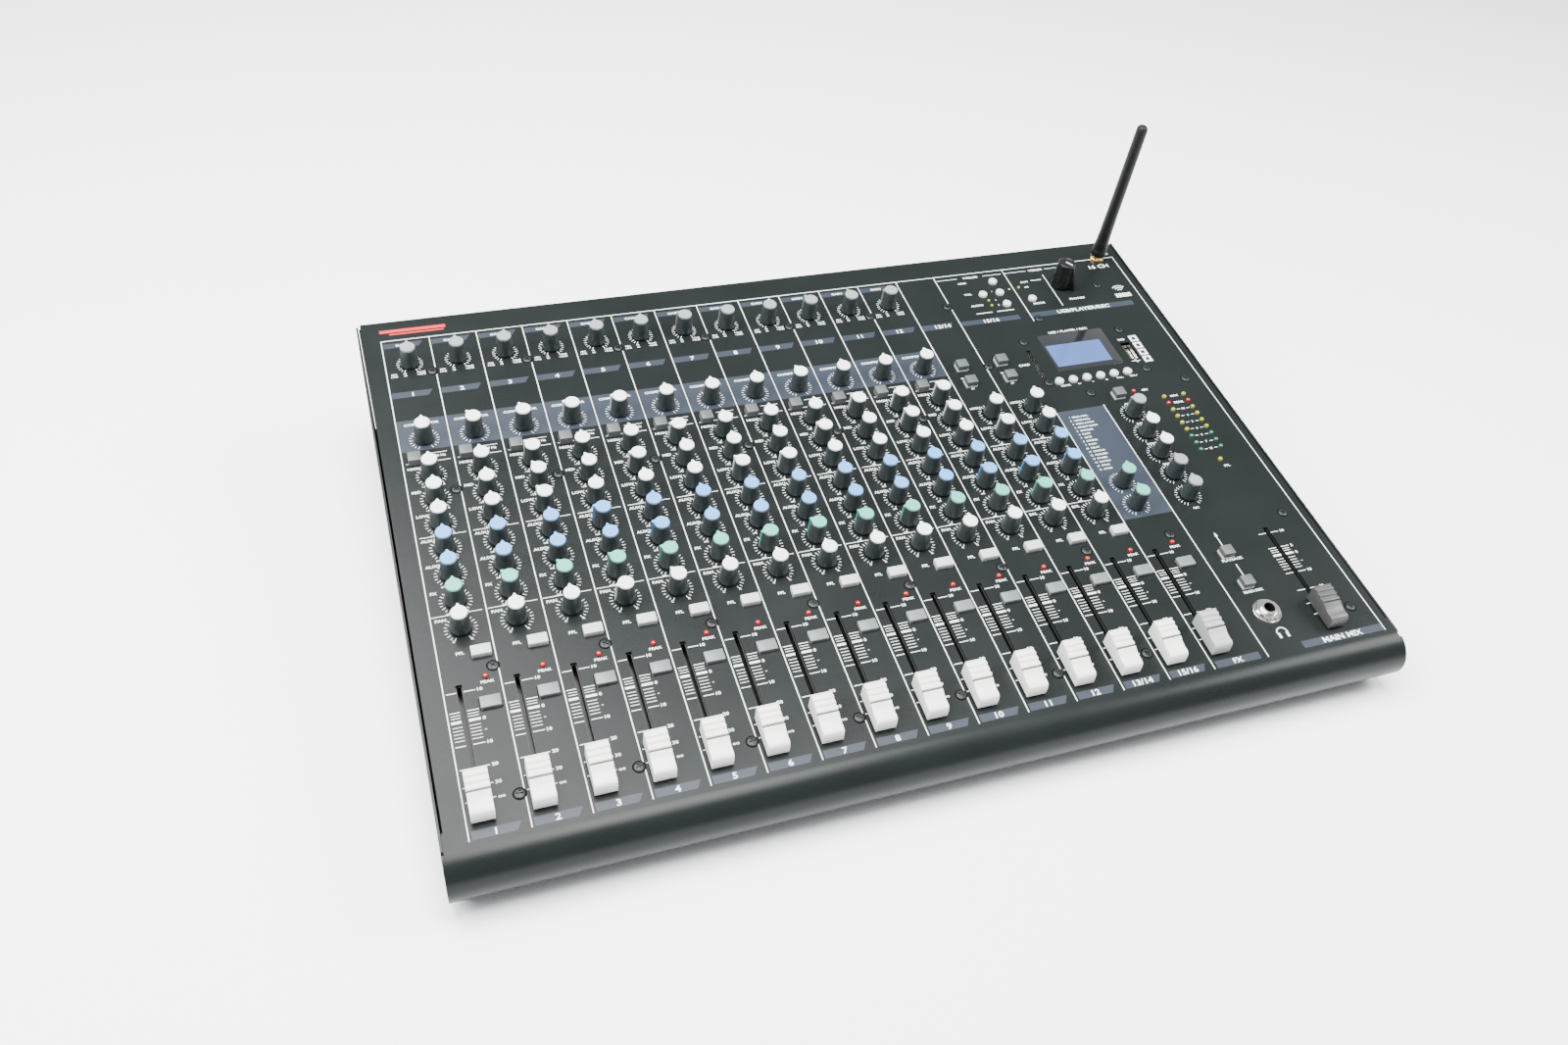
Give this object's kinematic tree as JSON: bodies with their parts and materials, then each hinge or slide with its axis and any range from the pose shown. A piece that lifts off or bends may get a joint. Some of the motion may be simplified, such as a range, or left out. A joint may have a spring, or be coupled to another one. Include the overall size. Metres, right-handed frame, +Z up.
{
  "type": "mixing console",
  "caption": "Desk-top audio mixing console with a sloped control panel, rolled front edge, rotary controls, slide faders, player display and antenna.",
  "frame": {"origin": "On the table under the middle of the whole object's box", "axes": "+X to the player's right along the front edge, +Y to the back, +Z up; the control panel slopes up to the back by 8 degrees"},
  "size_m": [0.525, 0.3762, 0.1907],
  "materials": {
    "panel_paint": "fine-textured satin black powder coat with white and slate-grey print",
    "case_paint": "satin black powder coat",
    "feet_rubber": "matt moulded rubber",
    "black_screw": "black oxide",
    "board": "green solder mask",
    "pot_plastic": "moulded housing",
    "plated_steel": "zinc plated",
    "knob_plastic": "satin dark grey moulding with a coloured cap",
    "volume_plastic": "satin black moulding",
    "cap_white": "satin moulded",
    "cap_light_grey": "satin moulded",
    "cap_dark_grey": "satin moulded",
    "key_grey": "satin moulded",
    "key_light": "satin moulded",
    "key_clear": "frosted translucent",
    "dome_white": "soft gloss moulded",
    "light_lens": "clear coloured lens",
    "bezel_plastic": "piano black",
    "screen_glass": "blue display glass",
    "nickel": "nickel plated",
    "gold_brass": "gold plated",
    "antenna_rubber": "satin rubber sleeve",
    "socket_plastic": "glass-filled moulding"
  },
  "bodies": {
    "console": {"top_panel": "panel_paint", "bottom_tray": "case_paint", "rear_panel": "case_paint", "rubber_feet": "feet_rubber", "case_screws": "black_screw", "panel_screws": "black_screw", "control_board": "board", "knob_pots": "pot_plastic", "fader_tracks": "plated_steel", "switch_bodies": "pot_plastic", "grey_knobs": "knob_plastic", "white_knobs": "knob_plastic", "blue_knobs": "knob_plastic", "teal_knobs": "knob_plastic", "status_lights": "light_lens", "display_bezel": "bezel_plastic", "display_screen": "screen_glass", "media_sockets": "plated_steel", "phones_jack": "nickel", "antenna_whip": "antenna_rubber", "antenna_socket": "gold_brass", "mic_sockets": "socket_plastic", "line_jacks": "socket_plastic", "phono_sockets": "nickel", "power_inlet": "socket_plastic", "power_switch_frame": "socket_plastic", "power_supply": "plated_steel"},
    "fader_1": {"fader_cap_1": "cap_white"},
    "fader_2": {"fader_cap_2": "cap_white"},
    "fader_3": {"fader_cap_3": "cap_white"},
    "fader_4": {"fader_cap_4": "cap_white"},
    "fader_5": {"fader_cap_5": "cap_white"},
    "fader_6": {"fader_cap_6": "cap_white"},
    "fader_7": {"fader_cap_7": "cap_white"},
    "fader_8": {"fader_cap_8": "cap_white"},
    "fader_9": {"fader_cap_9": "cap_white"},
    "fader_10": {"fader_cap_10": "cap_white"},
    "fader_11": {"fader_cap_11": "cap_white"},
    "fader_12": {"fader_cap_12": "cap_white"},
    "fader_13_14": {"fader_cap_13_14": "cap_white"},
    "fader_15_16": {"fader_cap_15_16": "cap_white"},
    "fader_effects": {"fader_cap_effects": "cap_light_grey"},
    "fader_main": {"fader_cap_main": "cap_dark_grey"},
    "gain_1": {"gain_knob_1": "knob_plastic"},
    "compressor_1": {"compressor_knob_1": "knob_plastic"},
    "high_1": {"high_knob_1": "knob_plastic"},
    "mid_1": {"mid_knob_1": "knob_plastic"},
    "low_1": {"low_knob_1": "knob_plastic"},
    "aux1_1": {"aux1_knob_1": "knob_plastic"},
    "aux2_1": {"aux2_knob_1": "knob_plastic"},
    "effects_1": {"effects_knob_1": "knob_plastic"},
    "pan_1": {"pan_knob_1": "knob_plastic"},
    "volume": {"volume_knob": "volume_plastic"},
    "low_cut_keys": {"low_cut_keys": "key_grey"},
    "pfl_keys": {"pfl_keys": "key_light"},
    "mute_keys": {"mute_keys": "key_clear"},
    "square_keys": {"square_keys": "key_grey"},
    "player_keys": {"player_keys": "dome_white"},
    "wireless_keys": {"wireless_keys": "dome_white"},
    "rocker": {"power_rocker": "socket_plastic"}
  },
  "joints": [
    {"name": "fader_1_slide", "type": "slide", "parent": "console", "child": "fader_1", "axis": [0, 0.9903, 0.1392], "range_m": [0, 0.06]},
    {"name": "fader_2_slide", "type": "slide", "parent": "console", "child": "fader_2", "axis": [0, 0.9903, 0.1392], "range_m": [0, 0.06]},
    {"name": "fader_3_slide", "type": "slide", "parent": "console", "child": "fader_3", "axis": [0, 0.9903, 0.1392], "range_m": [0, 0.06]},
    {"name": "fader_4_slide", "type": "slide", "parent": "console", "child": "fader_4", "axis": [0, 0.9903, 0.1392], "range_m": [0, 0.06]},
    {"name": "fader_5_slide", "type": "slide", "parent": "console", "child": "fader_5", "axis": [0, 0.9903, 0.1392], "range_m": [0, 0.06]},
    {"name": "fader_6_slide", "type": "slide", "parent": "console", "child": "fader_6", "axis": [0, 0.9903, 0.1392], "range_m": [0, 0.06]},
    {"name": "fader_7_slide", "type": "slide", "parent": "console", "child": "fader_7", "axis": [0, 0.9903, 0.1392], "range_m": [0, 0.06]},
    {"name": "fader_8_slide", "type": "slide", "parent": "console", "child": "fader_8", "axis": [0, 0.9903, 0.1392], "range_m": [0, 0.06]},
    {"name": "fader_9_slide", "type": "slide", "parent": "console", "child": "fader_9", "axis": [0, 0.9903, 0.1392], "range_m": [0, 0.06]},
    {"name": "fader_10_slide", "type": "slide", "parent": "console", "child": "fader_10", "axis": [0, 0.9903, 0.1392], "range_m": [0, 0.06]},
    {"name": "fader_11_slide", "type": "slide", "parent": "console", "child": "fader_11", "axis": [0, 0.9903, 0.1392], "range_m": [0, 0.06]},
    {"name": "fader_12_slide", "type": "slide", "parent": "console", "child": "fader_12", "axis": [0, 0.9903, 0.1392], "range_m": [0, 0.06]},
    {"name": "fader_13_14_slide", "type": "slide", "parent": "console", "child": "fader_13_14", "axis": [0, 0.9903, 0.1392], "range_m": [0, 0.06]},
    {"name": "fader_15_16_slide", "type": "slide", "parent": "console", "child": "fader_15_16", "axis": [0, 0.9903, 0.1392], "range_m": [0, 0.06]},
    {"name": "fader_effects_slide", "type": "slide", "parent": "console", "child": "fader_effects", "axis": [0, 0.9903, 0.1392], "range_m": [0, 0.06]},
    {"name": "fader_main_slide", "type": "slide", "parent": "console", "child": "fader_main", "axis": [0, 0.9903, 0.1392], "range_m": [0, 0.06]},
    {"name": "gain_1_turn", "type": "hinge", "parent": "console", "child": "gain_1", "pos_m": [-0.2356, 0.1407, 0.08055], "axis": [0, -0.1392, 0.9903], "range_deg": [-150, 150]},
    {"name": "compressor_1_turn", "type": "hinge", "parent": "console", "child": "compressor_1", "pos_m": [-0.2356, 0.07782, 0.07171], "axis": [0, -0.1392, 0.9903], "range_deg": [-150, 150]},
    {"name": "high_1_turn", "type": "hinge", "parent": "console", "child": "high_1", "pos_m": [-0.2356, 0.0494, 0.06772], "axis": [0, -0.1392, 0.9903], "range_deg": [-150, 150]},
    {"name": "mid_1_turn", "type": "hinge", "parent": "console", "child": "mid_1", "pos_m": [-0.2356, 0.03177, 0.06524], "axis": [0, -0.1392, 0.9903], "range_deg": [-150, 150]},
    {"name": "low_1_turn", "type": "hinge", "parent": "console", "child": "low_1", "pos_m": [-0.2356, 0.01414, 0.06276], "axis": [0, -0.1392, 0.9903], "range_deg": [-150, 150]},
    {"name": "aux1_1_turn", "type": "hinge", "parent": "console", "child": "aux1_1", "pos_m": [-0.2356, -0.00348, 0.06029], "axis": [0, -0.1392, 0.9903], "range_deg": [-150, 150]},
    {"name": "aux2_1_turn", "type": "hinge", "parent": "console", "child": "aux2_1", "pos_m": [-0.2356, -0.02111, 0.05781], "axis": [0, -0.1392, 0.9903], "range_deg": [-150, 150]},
    {"name": "effects_1_turn", "type": "hinge", "parent": "console", "child": "effects_1", "pos_m": [-0.2356, -0.03874, 0.05533], "axis": [0, -0.1392, 0.9903], "range_deg": [-150, 150]},
    {"name": "pan_1_turn", "type": "hinge", "parent": "console", "child": "pan_1", "pos_m": [-0.2356, -0.05636, 0.05285], "axis": [0, -0.1392, 0.9903], "range_deg": [-150, 150]},
    {"name": "volume_turn", "type": "hinge", "parent": "console", "child": "volume", "pos_m": [0.2024, 0.14119, 0.08062], "axis": [0, -0.1392, 0.9903], "range_deg": [-8, 292]},
    {"name": "low_cut_keys_press", "type": "slide", "parent": "console", "child": "low_cut_keys", "axis": [0, 0.1392, -0.9903], "range_m": [0, 0.0015], "stiffness_N_per_m": 400},
    {"name": "pfl_keys_press", "type": "slide", "parent": "console", "child": "pfl_keys", "axis": [0, 0.1392, -0.9903], "range_m": [0, 0.0015], "stiffness_N_per_m": 400},
    {"name": "mute_keys_press", "type": "slide", "parent": "console", "child": "mute_keys", "axis": [0, 0.1392, -0.9903], "range_m": [0, 0.0015], "stiffness_N_per_m": 400},
    {"name": "square_keys_press", "type": "slide", "parent": "console", "child": "square_keys", "axis": [0, 0.1392, -0.9903], "range_m": [0, 0.0015], "stiffness_N_per_m": 400},
    {"name": "player_keys_press", "type": "slide", "parent": "console", "child": "player_keys", "axis": [0, 0.1392, -0.9903], "range_m": [0, 0.0015], "stiffness_N_per_m": 400},
    {"name": "wireless_keys_press", "type": "slide", "parent": "console", "child": "wireless_keys", "axis": [0, 0.1392, -0.9903], "range_m": [0, 0.0015], "stiffness_N_per_m": 400},
    {"name": "power_rocker_tilt", "type": "hinge", "parent": "console", "child": "rocker", "pos_m": [0.2484, 0.17911, 0.061], "axis": [1, 0, 0], "range_deg": [-16, 0]}
  ]
}
